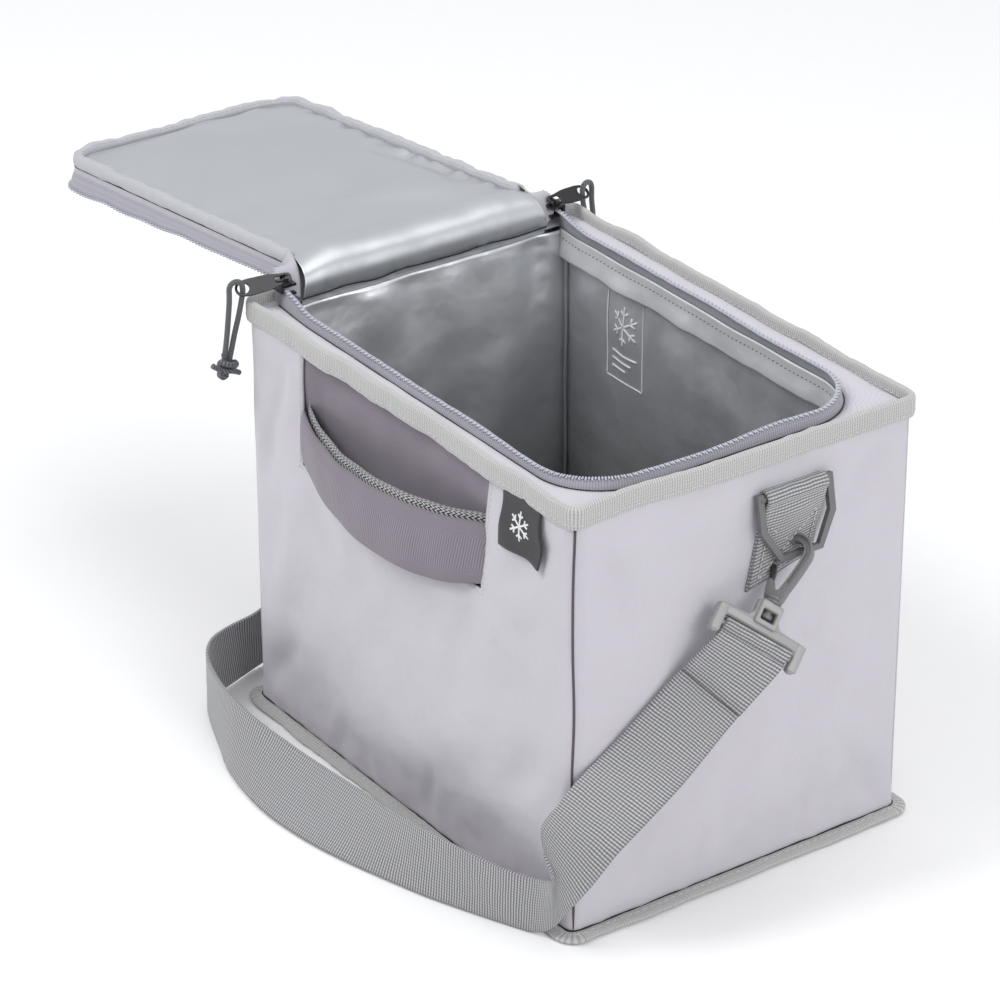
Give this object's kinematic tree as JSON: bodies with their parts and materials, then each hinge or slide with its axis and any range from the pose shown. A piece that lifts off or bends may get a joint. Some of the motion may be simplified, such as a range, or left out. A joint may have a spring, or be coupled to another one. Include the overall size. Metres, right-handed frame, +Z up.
{
  "type": "insulated cooler bag",
  "caption": "Box-shaped insulated cooler bag with a zipped lid folded open, foil lining, grab handles and a clip-on shoulder strap.",
  "frame": {"origin": "centre of the base, on the ground", "axes": "+Z up; +X towards the end that the zip runs round, away from the lid's hinge; -Y towards the long side with the label"},
  "size_m": [0.6194, 0.3145, 0.277],
  "materials": {
    "body_fabric": "fine matt weave",
    "base_fabric": "matt woven",
    "board": "matt",
    "foam": "closed-cell foam",
    "foil_lining": "satin foil film",
    "binding": "ribbed grosgrain",
    "zip_tape": "ribbed tape",
    "zip_coil": "satin nylon coil",
    "label": "woven label",
    "badge": "printed film",
    "twill": "twill",
    "braid": "herringbone braid",
    "webbing": "coarse ribbed webbing",
    "grey_plastic": "moulded acetal",
    "black_plastic": "moulded acetal",
    "gunmetal": "gloss black",
    "cord": "braided cord"
  },
  "bodies": {
    "body": {"outer_panel_front": "body_fabric", "outer_panel_back": "body_fabric", "outer_panel_near_end": "body_fabric", "outer_panel_hinge_end": "body_fabric", "outer_base": "base_fabric", "base_board": "board", "foam_front": "foam", "foam_back": "foam", "foam_near_end": "foam", "foam_hinge_end": "foam", "foam_base": "foam", "lining_front": "foil_lining", "lining_back": "foil_lining", "lining_near_end": "foil_lining", "lining_hinge_end": "foil_lining", "lining_base": "foil_lining", "lining_flap": "foil_lining", "rim_border": "body_fabric", "rim_binding": "binding", "base_binding": "binding", "body_zip_tape": "zip_tape", "body_zip_coil": "zip_coil", "lid_hinge_strip": "foil_lining", "side_label": "label", "care_badge": "badge", "recess_panel_front": "twill", "recess_panel_back": "twill", "ring_tab_near": "webbing", "ring_tab_far": "webbing", "shoulder_strap": "webbing", "strap_buckle_near": "grey_plastic", "strap_buckle_far": "grey_plastic", "strap_adjuster": "grey_plastic"},
    "lid": {"lid_outer_skin": "body_fabric", "lid_foam": "foam", "lid_lining": "foil_lining", "lid_hem": "zip_tape", "lid_zip_tape": "zip_tape", "lid_zip_coil": "zip_coil"},
    "zip_slider_left": {"zip_slider_left": "gunmetal"},
    "pull_tab_left": {"pull_tab_left": "gunmetal"},
    "pull_cord_left": {"pull_cord_left": "cord", "cord_knot_left": "cord"},
    "zip_slider_right": {"zip_slider_right": "gunmetal"},
    "pull_tab_right": {"pull_tab_right": "gunmetal"},
    "pull_cord_right": {"pull_cord_right": "cord", "cord_knot_right": "cord"},
    "handle_front": {"handle_band_front": "twill", "handle_webbing_front": "braid"},
    "handle_back": {"handle_band_back": "twill", "handle_webbing_back": "braid"},
    "d_ring_near": {"d_ring_near": "grey_plastic"},
    "snap_hook_near": {"snap_hook_near": "grey_plastic"},
    "hook_gate_near": {"hook_gate_near": "black_plastic"},
    "d_ring_far": {"d_ring_far": "grey_plastic"},
    "snap_hook_far": {"snap_hook_far": "grey_plastic"},
    "hook_gate_far": {"hook_gate_far": "black_plastic"}
  },
  "joints": [
    {"name": "lid_hinge", "type": "hinge", "parent": "body", "child": "lid", "pos_m": [-0.146, 0, 0.264], "axis": [0, 1, 0], "range_deg": [0, 186]},
    {"name": "zip_slide_left", "type": "slide", "parent": "body", "child": "zip_slider_left", "axis": [1, 0, 0], "range_m": [0, 0.24]},
    {"name": "pull_tab_hinge_left", "type": "hinge", "parent": "zip_slider_left", "child": "pull_tab_left", "pos_m": [-0.146, -0.0925, 0.2688], "axis": [-0.9659, 0.2588, 0], "range_deg": [0, 100]},
    {"name": "pull_cord_swing_left", "type": "hinge", "parent": "pull_tab_left", "child": "pull_cord_left", "pos_m": [-0.15218, -0.11556, 0.26629], "axis": [-0.9659, 0.2588, 0], "range_deg": [0, 35]},
    {"name": "zip_slide_right", "type": "slide", "parent": "body", "child": "zip_slider_right", "axis": [1, 0, 0], "range_m": [0, 0.24]},
    {"name": "pull_tab_hinge_right", "type": "hinge", "parent": "zip_slider_right", "child": "pull_tab_right", "pos_m": [-0.146, 0.0925, 0.2688], "axis": [0.9848, 0.1736, 0], "range_deg": [0, 100]},
    {"name": "pull_cord_swing_right", "type": "hinge", "parent": "pull_tab_right", "child": "pull_cord_right", "pos_m": [-0.15015, 0.11601, 0.26629], "axis": [0.9848, 0.1736, 0], "range_deg": [0, 35]},
    {"name": "handle_swing_front", "type": "hinge", "parent": "body", "child": "handle_front", "pos_m": [-0.009, -0.1145, 0.203], "axis": [-1, 0, 0], "range_deg": [0, 30]},
    {"name": "handle_swing_back", "type": "hinge", "parent": "body", "child": "handle_back", "pos_m": [-0.009, 0.1145, 0.203], "axis": [1, 0, 0], "range_deg": [0, 30]},
    {"name": "d_ring_hinge_near", "type": "hinge", "parent": "body", "child": "d_ring_near", "pos_m": [0.16, 0.027, 0.231], "axis": [0, -1, 0], "range_deg": [0, 1.5]},
    {"name": "d_ring_hinge_far", "type": "hinge", "parent": "body", "child": "d_ring_far", "pos_m": [-0.16, -0.027, 0.231], "axis": [0, 1, 0], "range_deg": [0, 2]},
    {"name": "hook_swivel_near", "type": "hinge", "parent": "body", "child": "snap_hook_near", "pos_m": [0.17543, 0.00178, 0.17827], "axis": [-0.2911, 0.7072, 0.6443], "range_deg": [-4, 2]},
    {"name": "hook_swivel_far", "type": "hinge", "parent": "body", "child": "snap_hook_far", "pos_m": [-0.17294, -0.027, 0.16826], "axis": [0.2079, 0, 0.9781], "range_deg": [-4, 4]},
    {"name": "hook_gate_near_hinge", "type": "hinge", "parent": "snap_hook_near", "child": "hook_gate_near", "pos_m": [0.16761, 0.00712, 0.18517], "axis": [-0.2771, 0.5822, -0.7643], "range_deg": [0, 25], "stiffness_Nm_per_rad": 0.01},
    {"name": "hook_gate_far_hinge", "type": "hinge", "parent": "snap_hook_far", "child": "hook_gate_far", "pos_m": [-0.16567, -0.027, 0.17744], "axis": [0, -1, 0], "range_deg": [0, 25], "stiffness_Nm_per_rad": 0.01}
  ]
}
